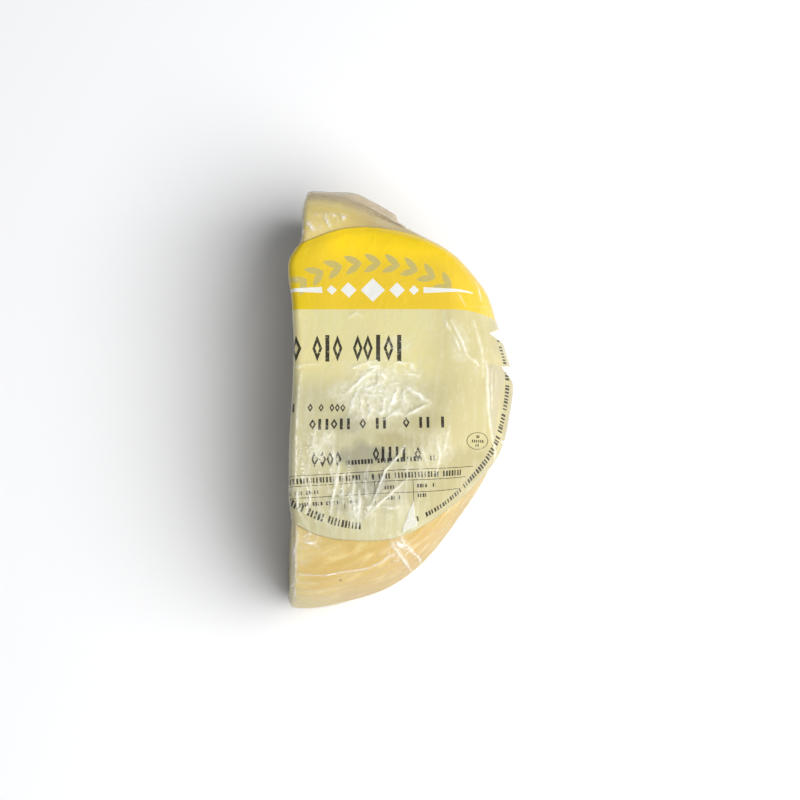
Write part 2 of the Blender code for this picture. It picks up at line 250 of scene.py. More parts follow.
# Creases of the film and the label: height, half width, and the places of the crest in
# millimetres from the label's centre. They stand up, and light catches their crests, which are
# also painted white: stress whitening and painted highlights.
CREASES = (
    # the star-shaped tuck right of the middle
    (0.54, 1.8, ((20.6, -7.9), (18.1, -6.6), (15.9, -5.2), (13.5, -3.4), (11.8, -2.0))),
    (0.60, 1.6, ((20.6, -7.9), (18.4, -9.1), (16.2, -10.3), (13.9, -11.4), (11.0, -12.2))),
    (0.33, 1.5, ((11.0, -12.2), (7.2, -11.8), (4.6, -14.0))),
    (0.27, 1.3, ((11.4, -2.7), (10.7, -5.6), (11.8, -8.4))),
    (0.36, 1.5, ((8.9, -2.7), (8.2, -5.6), (6.5, -8.4), (5.4, -11.3))),
    # the crumpled knot in the middle
    (0.42, 1.7, ((2.2, 5.5), (-0.3, 3.0), (-4.7, 0.1), (-7.6, -3.1), (-9.9, -4.9))),
    (0.27, 1.5, ((-3.9, -1.7), (-6.1, -5.3), (-7.5, -8.8), (-8.5, -12.4))),
    (0.39, 1.3, ((-6.6, 4.4), (-4.0, 5.5), (-1.1, 6.4), (1.5, 6.5))),
    (0.33, 1.2, ((-2.5, 6.5), (-0.3, 5.1), (1.8, 5.1), (2.2, 3.0))),
    (0.45, 1.2, ((3.3, 3.0), (4.3, 0.1))),
    (0.33, 1.4, ((2.2, 3.0), (2.2, -1.3), (4.0, -3.5))),
    (0.36, 1.4, ((2.6, -4.2), (4.4, -6.3), (4.0, -9.9), (2.6, -12.7))),
    (0.36, 1.2, ((7.3, 5.9), (9.6, 6.2), (12.5, 6.2), (14.2, 5.5), (13.9, 4.4))),
    (0.36, 1.2, ((10.5, 3.1), (12.5, 2.6), (14.6, 1.6), (16.2, 1.5))),
    (0.24, 1.1, ((9.3, 4.4), (11.1, 3.4))),
    (0.24, 1.1, ((-4.3, 1.9), (-1.8, 1.5), (0.4, 1.9))),
    (0.27, 1.3, ((-3.6, 0.1), (-2.5, -2.8), (0.4, -2.8), (2.9, -1.3))),
    (0.27, 1.3, ((-2.8, -5.3), (-0.3, -5.6), (2.9, -4.9))),
    (0.33, 1.4, ((-3.5, -5.6), (-4.2, -9.9), (-3.4, -13.4))),
    (0.30, 1.4, ((-1.0, -6.3), (-0.6, -10.6), (-1.7, -14.1))),
    (0.21, 1.2, ((6.1, -1.3), (8.2, -0.9), (10.7, -1.3))),
    # long slanting creases of the lower half, which meet at a point
    (0.42, 1.3, ((-2.6, -48.4), (0.6, -42.5), (4.4, -32.4), (8.8, -27.3), (11.5, -23.0))),
    (0.36, 1.2, ((-2.7, -48.8), (3.7, -42.5), (12.4, -34.9))),
    (0.30, 1.1, ((3.7, -44.9), (6.1, -45.2), (9.3, -44.8))),
    (0.21, 1.0, ((-4.4, -44.6), (-0.9, -45.1), (2.6, -44.9))),
    (0.33, 1.4, ((-6.4, -35.0), (-6.8, -40.0), (-6.1, -48.1))),
    (0.36, 1.6, ((-4.7, -38.9), (-4.4, -42.5), (-5.2, -49.1))),
    (0.30, 1.5, ((-11.5, -29.0), (-12.5, -35.6), (-15.0, -47.4))),
    (0.27, 1.3, ((-9.6, -33.0), (-10.4, -38.6), (-10.2, -44.0))),
    (0.21, 1.2, ((-1.4, -30.0), (-2.6, -37.0), (-1.8, -42.0))),
    (0.24, 1.3, ((-20.0, -16.0), (-20.9, -23.1), (-19.5, -27.6))),
    (0.21, 1.4, ((-22.0, -33.0), (-21.4, -40.0), (-22.8, -47.0))),
    (0.21, 1.2, ((-17.0, -18.5), (-15.4, -20.4), (-14.2, -18.2))),
    (0.21, 1.3, ((-14.0, -23.0), (-13.0, -29.0), (-13.6, -33.0))),
    (0.24, 1.4, ((22.3, -20.1), (23.7, -26.0), (22.8, -32.0))),
    (0.18, 1.6, ((27.0, -16.0), (25.0, -26.0))),
    (0.21, 1.2, ((17.0, -23.5), (19.5, -30.0))),
    # along the straight fold
    (0.27, 0.9, ((-26.4, 3.3), (-26.9, -7.1), (-26.8, -17.8), (-26.7, -35.5))),
    (0.27, 0.9, ((-26.1, -38.5), (-26.5, -46.7))),
    (0.34, 1.5, ((-27.4, -51.0), (-27.1, -56.0), (-27.9, -60.5), (-27.3, -66.0),
                 (-27.9, -70.5))),
    (0.34, 1.5, ((-27.9, -70.5), (-27.2, -75.0), (-27.7, -80.0), (-27.2, -85.0), (-27.6, -91.0))),
    (0.26, 1.8, ((-29.6, -60.6), (-28.4, -61.4))),
    (0.26, 1.8, ((-29.4, -67.6), (-28.2, -68.4))),
    (0.30, 1.7, ((-31.0, -70.8), (-29.0, -71.2), (-27.0, -70.2))),
    # on the cut side
    (0.24, 2.4, ((-34.0, 30.0), (-52.0, 24.0), (-66.0, 27.0))),
    (0.20, 2.2, ((-40.0, -38.0), (-52.0, -46.0), (-70.0, -49.0))),
    (0.20, 2.2, ((-36.0, -60.0), (-50.0, -58.0), (-64.0, -66.0))),
    (0.20, 2.2, ((-48.0, 55.0), (-62.0, 52.0), (-76.0, 56.0))),
    (0.18, 1.2, ((-29.3, 4.8), (-24.0, 5.6), (-19.9, 5.7))),
    # the flattened pleat near the right edge
    (0.70, 1.9, ((40.4, 8.0), (41.2, 5.0), (41.1, -0.7), (42.1, -9.6), (45.3, -20.4))),
    (0.24, 0.8, ((43.4, 5.6), (43.2, 0.0), (44.2, -9.0))),
    (0.18, 0.8, ((45.4, 5.0), (45.3, -2.0))),
    (0.42, 1.4, ((46.0, -21.5), (48.6, -27.6))),
    # bright short creases between the middle and the right edge
    (0.30, 1.0, ((25.8, 21.8), (27.4, 17.9))),
    (0.51, 1.3, ((27.6, 21.8), (31.4, 14.2), (32.9, 9.7), (36.0, 6.7))),
    (0.33, 1.0, ((28.9, 15.3), (30.8, 11.0))),
    (0.36, 1.0, ((35.7, 8.1), (37.8, 5.6))),
    (0.18, 2.6, ((36.0, 22.0), (39.0, 12.0), (39.6, 2.0))),
    (0.18, 1.4, ((37.7, 37.6), (39.8, 30.5))),
    (0.15, 1.2, ((30.0, 32.0), (33.0, 27.0))),
    (0.18, 1.4, ((-8.8, 22.5), (-6.5, 23.9), (-4.0, 23.2))),
    # bare film under the label's lower edge
    (0.20, 1.4, ((-29.0, -66.8), (-27.4, -69.3), (-17.3, -69.7), (-9.7, -68.6), (-0.4, -68.0),
                 (3.6, -66.1), (7.9, -63.2), (9.8, -62.9), (11.0, -64.7))),
    (0.50, 1.5, ((-26.1, -56.8), (-23.0, -57.4), (-20.1, -57.3))),
    (0.30, 1.0, ((-25.0, -55.4), (-23.3, -54.6), (-19.8, -54.9))),
    # the flat fold down the rind, between two bright edges
    (0.26, 2.1, ((6.2, -54.9), (8.5, -59.6), (12.9, -65.3), (18.1, -72.5), (24.4, -81.1),
                 (31.0, -90.0))),
    (0.24, 2.0, ((9.2, -53.5), (11.8, -57.6), (16.3, -62.7), (22.6, -69.0), (29.2, -77.4),
                 (35.2, -86.3))),
    (0.36, 2.2, ((9.0, -56.6), (10.6, -59.2), (13.0, -60.6))),
    # bare film above the label
    (0.50, 2.4, ((-26.6, 58.2), (-24.4, 54.6))),
    (0.45, 1.9, ((-19.8, 60.2), (-18.0, 56.2))),
    (0.45, 1.8, ((-13.2, 62.0), (-12.3, 59.4), (-11.2, 61.8))),
    (0.30, 1.5, ((-21.2, 61.4), (-19.2, 61.3))),
    (0.27, 1.4, ((-17.4, 61.0), (-15.0, 61.0))),
    (0.40, 1.9, ((-28.9, 55.8), (-28.1, 53.0))),
)
# Crumpled patches: centre, half axes, height and size of the crumples
CRUMPLES = (
    (2.0, -4.0, 16.0, 15.0, 0.32, 3.4),
    (18.0, -28.0, 15.0, 12.0, 0.18, 3.2),
    (-21.0, -24.0, 10.0, 12.0, 0.20, 3.0),
    (-6.0, -42.0, 26.0, 12.0, 0.18, 3.4),
    (42.0, 30.0, 10.0, 9.0, 0.12, 3.6),
    (-21.0, 58.5, 11.0, 6.0, 0.45, 2.6),
    (10.0, -62.0, 9.0, 7.0, 0.35, 2.8),
    (-24.0, -57.0, 7.0, 5.0, 0.30, 2.8),
)
# Soft shades of the label's field: centre, half axes and strength. Pale is where the film
# stands off the cheese, drab is painted shade where a slope turns from the light, grey is
# where air is behind and, at the rolled right edge, painted shade.
# Their edges fade over these shares of the half axes, and are ragged: strength, layer, size
SHADE_FADE = (0.45, 1.1)
SHADE_RAGGED = ((0.35, 2, 5.0), (0.2, 4, 1.7))
PALE = (
    (2.0, -4.0, 18.0, 14.0, 0.45),
    (-6.2, -46.0, 3.0, 7.0, 0.50),
    (-19.5, -25.0, 4.0, 6.0, 0.50),
    (24.0, -23.0, 6.0, 7.0, 0.25),
    (31.0, 14.0, 4.0, 9.0, 0.30),
    (-15.5, -20.0, 3.0, 3.0, 0.40),
    (8.0, 13.0, 7.0, 3.5, 0.45),
)
DRAB = (
    (17.0, -14.5, 8.0, 4.5, 0.60),
    (8.0, -21.5, 9.0, 4.0, 0.95),
    (36.0, -31.0, 16.0, 10.0, 1.00),
    (53.5, -8.0, 5.5, 26.0, 0.75),
    (55.2, -15.0, 3.8, 15.0, 0.45),
    (48.0, 20.0, 8.0, 9.0, 0.45),
    (27.0, -43.0, 16.0, 9.0, 0.80),
    (-25.0, -45.0, 6.0, 12.0, 0.30),
)
GREY = (
    (-9.0, -15.0, 6.0, 5.0, 0.60),
    (-2.5, -27.0, 12.0, 6.5, 1.00),
    (-1.0, -35.5, 9.0, 5.5, 0.95),
    (-5.0, -43.0, 14.0, 6.0, 0.55),
    (10.0, -37.0, 12.0, 7.0, 0.30),
    # painted shade of the rolled right edge
    (55.4, -15.0, 3.4, 15.0, 1.00),
)
LABEL_SHADES = (("pale", PALE), ("drab", DRAB), ("grey", GREY))
LABEL_LAYERS = ("white", "pale", "drab", "grey", "pleat")
# The flattened pleat: its top, its left and right edges from the top down, and how soft
# the three are
PLEAT_TOP_Q = 7.2
PLEAT_LEFT = ((8.0, 41.0), (-5.0, 41.4), (-9.6, 42.4), (-23.0, 46.6))
PLEAT_RIGHT = ((8.0, 52.5), (0.5, 49.8), (-4.2, 48.4), (-12.0, 47.2), (-23.0, 46.9))
PLEAT_SOFT = (0.4, 0.3, 0.5)
# Upright pleats of the lower half: height, spacing, stretch, and where they begin and end
UPRIGHT_HEIGHT = 0.13
UPRIGHT_SPACING = 3.2
UPRIGHT_STRETCH = 6.0
UPRIGHT_FROM = (14.0, 30.0)
UPRIGHT_TO = (50.0, 58.0)
# Towards the right they fade, to this share of their height
UPRIGHT_FADE = (12, 24)
UPRIGHT_LEFT_OVER = 0.3
# Whiteness of their crests, stress whitening with a painted highlight, and their sharpness
UPRIGHT_WHITE = 0.26
UPRIGHT_SHARP = 2.6
# Slack unevenness of the whole skin, and its finest crinkles
SLACK_HEIGHT = 0.20
SLACK_SIZE = 10.0
CRINKLE_HEIGHT = 0.03
CRINKLE_SIZE = 2.4
# How far creases sway from their lines, in the knot in the middle and elsewhere
KNOT = (4.0, -3.0, 11.0, 22.0)
SWAY_IN_KNOT = 0.9
SWAY_ELSEWHERE = 0.2
SWAY_SIZE = 2.6
# A crease of this height is fully white along its crest, stress whitening with a painted
# highlight. How wide the white core is, how low a crease is at its ends, and how sharply it
# falls off to its sides
FULL_WHITE = 0.32
WHITE_CORE = 2.5
CREST_ENDS = 0.45
CREST_FALL = 1.3
# Whiteness along the crests, painted glints among it, is patchy: its mean, how much it varies
# and the patches' size
PATCHY = (0.85, 0.8, 1.8)
# Crumpled patches fade over these shares of their half axes, and their crests bend this far
# and this finely. Crests: sharpness and share of the height. Finer crests: sharpness, scale
# and share. Tilts: scale and share. Whiteness: the least, a milky haze, and how much more a
# crest has, a painted highlight
CRUMPLE_FADE = (0.45, 1.0)
CRUMPLE_BEND = (0.55, 0.8)
CRUMPLE_CRESTS = (4.5, 0.6)
CRUMPLE_FINER = (4.0, 2.2, 0.25)
CRUMPLE_TILT = (0.7, 0.9)
CRUMPLE_WHITE = (0.04, 0.40)
# Side of the squares by which the creases are looked up
SQUARE = 4.0


def crease_parts():
    """The straight parts of every crease, by the squares of the skin that they touch."""
    found = {}
    for height, half_width, path in CREASES:
        steps = list(zip(path, path[1:]))
        whole = sum(math.dist(*step) for step in steps)
        gone = 0.0
        for start, end in steps:
            length = math.dist(start, end)
            part = (*start, *end, gone / whole, length / whole, length, height, half_width)
            gone += length
            squares = [
                range(
                    math.floor((min(pair) - half_width) / SQUARE),
                    math.floor((max(pair) + half_width) / SQUARE) + 1,
                )
                for pair in zip(start, end)
            ]
            for column in squares[0]:
                for line in squares[1]:
                    found.setdefault((column, line), []).append(part)
    return found


CREASE_PARTS = crease_parts()


def crest(p, q, part):
    """Height of one part of a crease at a place, and how white its crest is there."""
    p0, q0, p1, q1, gone, share, length, height, half_width = part
    reach_p, reach_q = (p1 - p0) / length, (q1 - q0) / length
    along = (p - p0) * reach_p + (q - q0) * reach_q
    along = min(max(along, 0.0), length)
    off = math.hypot(p - p0 - along * reach_p, q - q0 - along * reach_q) / half_width
    if off >= 1:
        return 0.0, 0.0
    place = gone + share * along / length
    swelling = CREST_ENDS + (1 - CREST_ENDS) * math.sin(math.pi * place)
    core = max(1 - WHITE_CORE * off, 0)
    bright = min(height / FULL_WHITE, 1.0) * swelling * core
    return height * swelling * (1 - off) ** CREST_FALL, bright


def crest_of(wave, sharpness):
    """1 where a wave crosses zero, falling to 0 on both sides."""
    return max(1 - sharpness * abs(wave), 0)


def crumple(p, q, patch):
    """Height of a crumpled patch, whose thin curved crests fade outwards."""
    middle_p, middle_q, half_p, half_q, height, size = patch
    out = math.hypot((p - middle_p) / half_p, (q - middle_q) / half_q)
    if out >= 1:
        return 0.0, 0.0
    strength = 1 - smooth_step(*CRUMPLE_FADE, out)
    where = Vector((p / size, q / size, size))
    bend, bend_scale = CRUMPLE_BEND
    where += bend * noise.noise_vector(where * bend_scale)
    sharp, crest_share = CRUMPLE_CRESTS
    crests = crest_of(noise.noise(where), sharp) ** 2
    sharp, finer_scale, finer_share = CRUMPLE_FINER
    finer = crest_of(noise.noise(where * finer_scale), sharp) ** 2
    tilt_scale, tilt_share = CRUMPLE_TILT
    tilt = noise.noise(where * tilt_scale + Vector((7, 3, 1)))
    relief = crest_share * crests + finer_share * finer + tilt_share * tilt
    dull, bright = CRUMPLE_WHITE
    white = min(height / FULL_WHITE, 1.0) * (dull + bright * crests**2)
    return strength * height * relief, strength * white


def uneven(p, q, layer, size):
    """Soft noise over the label's plane, from one of many layers."""
    return noise.noise(Vector((p, q, layer)) / size)


def swaying(p, q):
    """How far a crease passes beside its line at a place."""
    middle_p, middle_q, full, none = KNOT
    knot = 1 - smooth_step(full, none, math.hypot(p - middle_p, q - middle_q))
    size = SWAY_ELSEWHERE + (SWAY_IN_KNOT - SWAY_ELSEWHERE) * knot
    return size * noise.noise_vector(Vector((p, q, 3)) / SWAY_SIZE)


def upright_pleats(p, q):
    """Height and whiteness of the upright pleats of the lower half."""
    share = smooth_step(*UPRIGHT_FROM, -q) * (1 - smooth_step(*UPRIGHT_TO, -q))
    if share <= 0:
        return 0.0, 0.0
    share *= 1 - (1 - UPRIGHT_LEFT_OVER) * smooth_step(*UPRIGHT_FADE, p)
    fold = crest_of(uneven(p, q / UPRIGHT_STRETCH, 9, UPRIGHT_SPACING), UPRIGHT_SHARP)
    return UPRIGHT_HEIGHT * share * fold**1.5, UPRIGHT_WHITE * share * fold**5


def wrinkle(p, q):
    """Height in millimetres of the creases over the smooth skin, and how white they are, with
    painted highlights.
    """
    height = SLACK_HEIGHT * uneven(p, q, 0, SLACK_SIZE)
    height += CRINKLE_HEIGHT * (1 - 2 * abs(uneven(p, q * 0.7, 5, CRINKLE_SIZE)))
    white = 0.0
    for more, whiter in (upright_pleats(p, q), *(crumple(p, q, patch) for patch in CRUMPLES)):
        height += more
        white += whiter
    tallest, brightest = 0.0, 0.0
    parts = CREASE_PARTS.get((math.floor(p / SQUARE), math.floor(q / SQUARE)), ())
    sway = swaying(p, q) if parts else None
    for part in parts:
        more, whiter = crest(p + sway.x, q + sway.y, part)
        tallest = max(tallest, more)
        brightest = max(brightest, whiter)
    patchy = PATCHY[0] + PATCHY[1] * uneven(p, q, 11, PATCHY[2])
    return height + tallest, min(white + patchy * brightest, 1.0)


def shade(p, q, patches):
    """How strongly soft-edged patches colour a place, with ragged edges."""
    ragged = sum(share * uneven(p, q, layer, size) for share, layer, size in SHADE_RAGGED)
    total = 0.0
    for middle_p, middle_q, half_p, half_q, strength in patches:
        out = math.hypot((p - middle_p) / half_p, (q - middle_q) / half_q)
        total += strength * (1 - smooth_step(*SHADE_FADE, out + ragged))
    return min(total, 1.0)


def edge_at(q, edge):
    """Where an edge, given as places from the top down, stands at this height."""
    for (q0, p0), (q1, p1) in zip(edge, edge[1:]):
        if q >= q1:
            return p0 + (p1 - p0) * (q0 - q) / (q0 - q1)
    return edge[-1][1]


def in_pleat(p, q):
    """1 inside the flattened pleat near the right edge, 0 outside."""
    within = (PLEAT_TOP_Q - q, p - edge_at(q, PLEAT_LEFT), edge_at(q, PLEAT_RIGHT) - p)
    return math.prod(smooth_step(-soft, soft, depth) for soft, depth in zip(PLEAT_SOFT, within))


def on_skin(a, b, lift):
    """Where a flat point comes to lie at this height over the smooth film."""
    on_top = max(a, FOLD_A)
    radius, height, across, up = rind(math.hypot(on_top, b), *rim_shape(turn_of(on_top, b)))
    along = Vector((on_top, b, 0)).normalized()
    top = along * (radius + lift * across) + Vector((0, 0, height + lift * up))
    if a >= FOLD_A:
        return top
    past = FOLD_A - a
    turn = min(past / CUT_EDGE_ROUND, math.pi / 2)
    reach = CUT_EDGE_ROUND + lift
    down = reach * (1 - math.cos(turn)) + max(past - EDGE_ARC, 0)
    return top + Vector((-reach * math.sin(turn), 0, -down))


def on_label(p, q, lift):
    """Where a point of the flat label, given in millimetres, comes to lie."""
    return settle(on_skin(LABEL_A + p * MM, LABEL_B + q * MM, lift)) + AXIS


def show(name, data):
    """Puts a new object of this mesh, camera or light into the scene."""
    shown = bpy.data.objects.new(name, data)
    bpy.context.scene.collection.objects.link(shown)
    return shown


def mesh_of(name, bm):
    """Makes a mesh of a bmesh, which ends there."""
    mesh = bpy.data.meshes.new(name)
    bm.to_mesh(mesh)
    bm.free()
    return mesh


def new_piece(name, bm, replaced):
    """Makes an object of a bmesh, rides it on the body and hides the part that it replaces."""
    mesh = mesh_of(name, bm)
    mesh.shade_smooth()
    piece = show(name, mesh)
    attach(piece, "root")
    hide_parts(replaced)
    return piece


def paint_values(piece, name, values):
    """Keeps one number for each vertex under a name that the material reads."""
    attribute = piece.data.attributes.new(name, "FLOAT", "POINT")
    attribute.data.foreach_set("value", values)


def cut_notches(bm):
    """Cuts the label back where its edge dips into each pleat of the film."""
    for valley, above, below, depth in PLEATS:
        outer = RADIUS + depth + LABEL_LIFT
        tip, low, high = (
            AXIS + radius * outwards(turn)
            for radius, turn in (
                (RADIUS - depth, math.radians(valley)),
                (outer, math.radians(valley - NOTCH_SPREAD * below)),
                (outer, math.radians(valley + NOTCH_SPREAD * above)),
            )
        )
        sides = []
        for corner, inward in ((low, high), (high, low)):
            across = (corner - tip).cross(Vector((0, 0, 1))).normalized()
            if across.dot(inward - tip) < 0:
                across.negate()
            sides.append(across)
        for side in sides:
            near = [face for face in bm.faces if in_wedge(face, tip, sides, -NOTCH_MARGIN)]
            parts = {part for face in near for part in (*face.verts, *face.edges, face)}
            bmesh.ops.bisect_plane(bm, geom=list(parts), dist=WELD, plane_co=tip, plane_no=side)
        cut_off = [face for face in bm.faces if in_wedge(face, tip, sides, 0.0)]
        bmesh.ops.delete(bm, geom=cut_off, context="FACES")


def in_wedge(face, tip, sides, margin):
    """Whether a face lies between the two upright sides of a notch."""
    reach = face.calc_center_median() - tip
    between = all(reach.dot(side) > margin for side in sides)
    return between and reach.xy.length < NOTCH_REACH


def flat_grid(columns, lines, name):
    """A flat square grid from -1 to 1, and a map for its flat places."""
    bm = bmesh.new()
    bmesh.ops.create_grid(bm, x_segments=columns, y_segments=lines, size=1.0)
    return bm, bm.loops.layers.uv.new(name)


def keep_flat_places(bm, flat_map):
    """Writes the flat places into the map, from 0 to 1."""
    for face in bm.faces:
        for loop in face.loops:
            loop[flat_map].uv = (loop.vert.co.xy + Vector((1, 1))) / 2


def make_label():
    """The round printed sheet, laid over the film with all of its creases."""
    bm, print_map = flat_grid(LABEL_CELLS, LABEL_CELLS, "print")
    layers = {name: bm.verts.layers.float.new(name) for name in LABEL_LAYERS}
    for corner in bm.verts:
        u, v = corner.co.xy
        corner.co.x = u * math.sqrt(1 - v * v / 2)
        corner.co.y = v * math.sqrt(1 - u * u / 2)
    keep_flat_places(bm, print_map)
    for corner in bm.verts:
        u, v = corner.co.xy
        out = math.hypot(u, v)
        pull = smooth_step(PULLED_FROM, 1.0, out) * swells(turn_of(u, v), EDGE_PULLS)
        p, q = corner.co.xy * LABEL_RADIUS / MM * (1 + pull)
        height, white = wrinkle(p, q)
        rim = 1 - FLATTER * smooth_step(FLATTER_FROM, 1.0, out)
        turn = turn_of(LABEL_A + p * MM, LABEL_B + q * MM)
        flare = smooth_step(FLARE_FROM, 1.0, out) * swells(turn, LABEL_FLARES)
        corner.co = on_label(p, q, rim * (LABEL_LIFT + height * MM) + flare)
        # whiteness of the crests, stress whitening with painted highlights
        corner[layers["white"]] = white
        for name, patches in LABEL_SHADES:
            corner[layers[name]] = shade(p, q, patches)
        corner[layers["pleat"]] = in_pleat(p, q)
    cut_notches(bm)
    label = new_piece("label_sheet", bm, "label")
    thicken(label, LABEL_THICKNESS)
    return label


def thicken(sheet, thickness):
    """Gives a sheet its thickness, inwards."""
    solid = sheet.modifiers.new("Thickness", "SOLIDIFY")
    solid.thickness = thickness
    solid.offset = -1


def along_path(path, share):
    """Place, half width and direction at a share of the way along a path."""
    steps = len(path) - 1
    step = min(int(share * steps), steps - 1)
    rest = share * steps - step
    start, end = Vector(path[step]), Vector(path[step + 1])
    before = Vector(path[max(step - 1, 0)])
    after = Vector(path[min(step + 2, steps)])
    bend = (start - before).lerp(after - end, rest)
    return start.lerp(end, rest), ((end - start) + 0.5 * bend).xy.normalized()


def make_fold(name, path, on_sheet, slant=0.0):
    """A flat fold of film along a path of places and half widths, with a slanting end."""
    bm, fold_map = flat_grid(*FOLD_STEPS, "fold")
    keep_flat_places(bm, fold_map)
    for corner in bm.verts:
        along, across = (corner.co.x + 1) / 2, corner.co.y
        point, way = along_path(path, along)
        off = across * point.z * (1 + FOLD_RAGGED * uneven(point.x, point.y, 3 * across, 2.5))
        back = slant * off * along
        p = point.x - way.y * off - way.x * back
        q = point.y + way.x * off - way.y * back
        height = wrinkle(p, q)[0] * MM
        height = LABEL_LIFT + height if on_sheet else FILM_CREASE * height
        crown = FOLD_LIFT * (1 + FOLD_CROWN * (1 - across**2))
        skin = on_skin(LABEL_A + p * MM, LABEL_B + q * MM, height + crown)
        corner.co = settle(skin if on_sheet else film_relief(skin)) + AXIS
    bmesh.ops.recalc_face_normals(bm, faces=bm.faces[:])
    fold = new_piece(name, bm, "film_pack")
    thicken(fold, FILM_THICKNESS)
    return fold


def nearest_skin(radius, z):
    """Depth below the turned surface of the even cheese, and the way out to it."""
    top_in, top_up = radius - (RADIUS - TOP_ROUND), z - (HEIGHT - TOP_ROUND)
    if top_in > 0 and top_up > 0:
        out = math.hypot(top_in, top_up)
        return TOP_ROUND - out, top_in / out, top_up / out
    base_in, base_up = radius - (RADIUS - BASE_ROUND), z - BASE_ROUND
    if base_in > 0 and base_up < 0:
        out = math.hypot(base_in, base_up)
        return BASE_ROUND - out, base_in / out, base_up / out
    return min((RADIUS - radius, 1.0, 0.0), (HEIGHT - z, 0.0, 1.0), (z, 0.0, -1.0))


def even_half(cell):
    """A fine closed mesh of the even half cheese, about its upright axis."""
    bm = bmesh.new()
    length = EVEN_LENGTH + BASE_ROUND * math.pi / 2
    count = round(length / PROFILE_STEP)
    ring = []
    for step in range(count + 1):
        radius, height, _, _ = rind(length * step / count)
        ring.append(bm.verts.new((radius, 0, height)))
    ring.append(bm.verts.new((0, 0, 0)))
    edges = [bm.edges.new(pair) for pair in zip(ring, ring[1:])]
    bmesh.ops.spin(
        bm,
        geom=ring + edges,
        axis=(0, 0, 1),
        cent=(0, 0, 0),
        dvec=(0, 0, 0),
        angle=2 * math.pi,
        steps=TURN_STEPS,
        use_merge=True,
        use_duplicate=False,
    )
    bmesh.ops.remove_doubles(bm, verts=bm.verts[:], dist=WELD)
    bmesh.ops.bisect_plane(
        bm,
        geom=bm.verts[:] + bm.edges[:] + bm.faces[:],
        dist=WELD,
        plane_co=(CUT_A, 0, 0),
        plane_no=(-1, 0, 0),
        clear_outer=True,
    )
    bmesh.ops.edgeloop_fill(bm, edges=[edge for edge in bm.edges if edge.is_boundary])
    bmesh.ops.recalc_face_normals(bm, faces=bm.faces[:])
    body = show("even_half", mesh_of("even_half", bm))
    remesh = body.modifiers.new("Fine", "REMESH")
    remesh.mode = "VOXEL"
    remesh.voxel_size = cell
    graph = bpy.context.evaluated_depsgraph_get()
    fine = bpy.data.meshes.new_from_object(body.evaluated_get(graph))
    bpy.data.objects.remove(body)
    bm = bmesh.new()
    bm.from_mesh(fine)
    bpy.data.meshes.remove(fine)
    return bm


def round_cut_edge(point):
    """Puts a point of the even half on its exact surface, with the cut's edges rounded.

    Returns the point, its outward direction and how far it has gone round the cut's edge,
    from 0 on the rind to 1 on the cut."""
    a, b, z = point
    radius = math.hypot(a, b)
    angle = math.atan2(b, a)
    depth, across, up = nearest_skin(radius, z)
    behind = a - CUT_A
    out = across * outwards(angle) + Vector((0, 0, up))
    back = Vector((-1, 0, 0))
    if depth <= behind:
        on_surface = Vector(point) + out * depth
        depth = 0.0
    else:
        on_surface = Vector(point) + back * behind
        behind = 0.0
    short_a = max(CUT_EDGE_ROUND - behind, 0.0)
    short_e = max(CUT_EDGE_ROUND - depth, 0.0)
    if not short_a or not short_e:
        return (on_surface, out, 0.0) if depth == 0 else (on_surface, back, 1.0)
    scale = CUT_EDGE_ROUND / math.hypot(short_a, short_e)
    on_surface -= back * (CUT_EDGE_ROUND - short_a * scale - behind)
    on_surface -= out * (CUT_EDGE_ROUND - short_e * scale - depth)
    turned = math.atan2(short_a, short_e) / (math.pi / 2)
    return on_surface, (back * short_a + out * short_e).normalized(), turned


def follow_rim(point):
    """Moves a point of the evenly turned half to the uneven rim at its angle."""
    a, b, z = point
    angle = math.atan2(b, a)
    turn = math.degrees(angle)
    radius, rounding = rim_shape(turn)
    if z < BASE_ROUND or abs(turn) > NEAR_CUT:
        scale = radius / RADIUS
        return Vector((a * scale, b * scale, z))
    way, lift = place_on_rind(math.hypot(a, b), z)
    way *= skin_length(radius, rounding) / EVEN_LENGTH
    new_radius, height, across, up = rind(way, radius, rounding)
    level = new_radius + lift * across
    return level * outwards(angle) + Vector((0, 0, height + lift * up))


def drawn_in(point, shift):
    """The point moved inwards by shift, towards the upright axis."""
    return point - shift * outwards(math.atan2(point.y, point.x))


def tuck(point):
    """Draws the side in below the label's right edge."""
    down = (1 - smooth_step(*TUCK_HEIGHTS, point.z)) * smooth_step(*TUCK_FOOT, point.z)
    return drawn_in(point, down * swell(turn_of(*point.xy), *TUCK))


def in_side(z):
    """1 where the pleats are at their deepest, falling to 0 at the top and the foot."""
    return smooth_step(-PLEAT_TOP, -PLEAT_FULL, -z) * smooth_step(*PLEAT_FOOT, z)


def film_relief(point):
    """Raises the seam and sinks the pleats of the film, on the round side only."""
    turn = turn_of(*point.xy)
    from_side = rim_shape(turn)[0] - math.hypot(*point.xy)
    along = smooth_step(SEAM_FROM, SEAM_FROM + SEAM_TIP, turn)
    along *= 1 - smooth_step(SEAM_TO - SEAM_TAIL, SEAM_TO, turn)
    across = 1 - smooth_step(0, SEAM_WIDTH, from_side)
    inward = -SEAM_LIFT * along * across * smooth_step(*SEAM_HEIGHTS, point.z)
    for valley, above, below, depth in PLEATS:
        reach = above if turn > valley else below
        inward += depth * in_side(point.z) * max(1 - abs(turn - valley) / reach, 0)
    return tuck(drawn_in(point, inward))


def pleat_dent(point):
    """Draws the cheese in behind the pleats of the film, with a soft wide dent."""
    turn = turn_of(*point.xy)
    deepest = max(swell(turn, valley, PLEAT_DENT, depth) for valley, _, _, depth in PLEATS)
    return tuck(drawn_in(point, DENT_SHARE * in_side(point.z) * deepest))


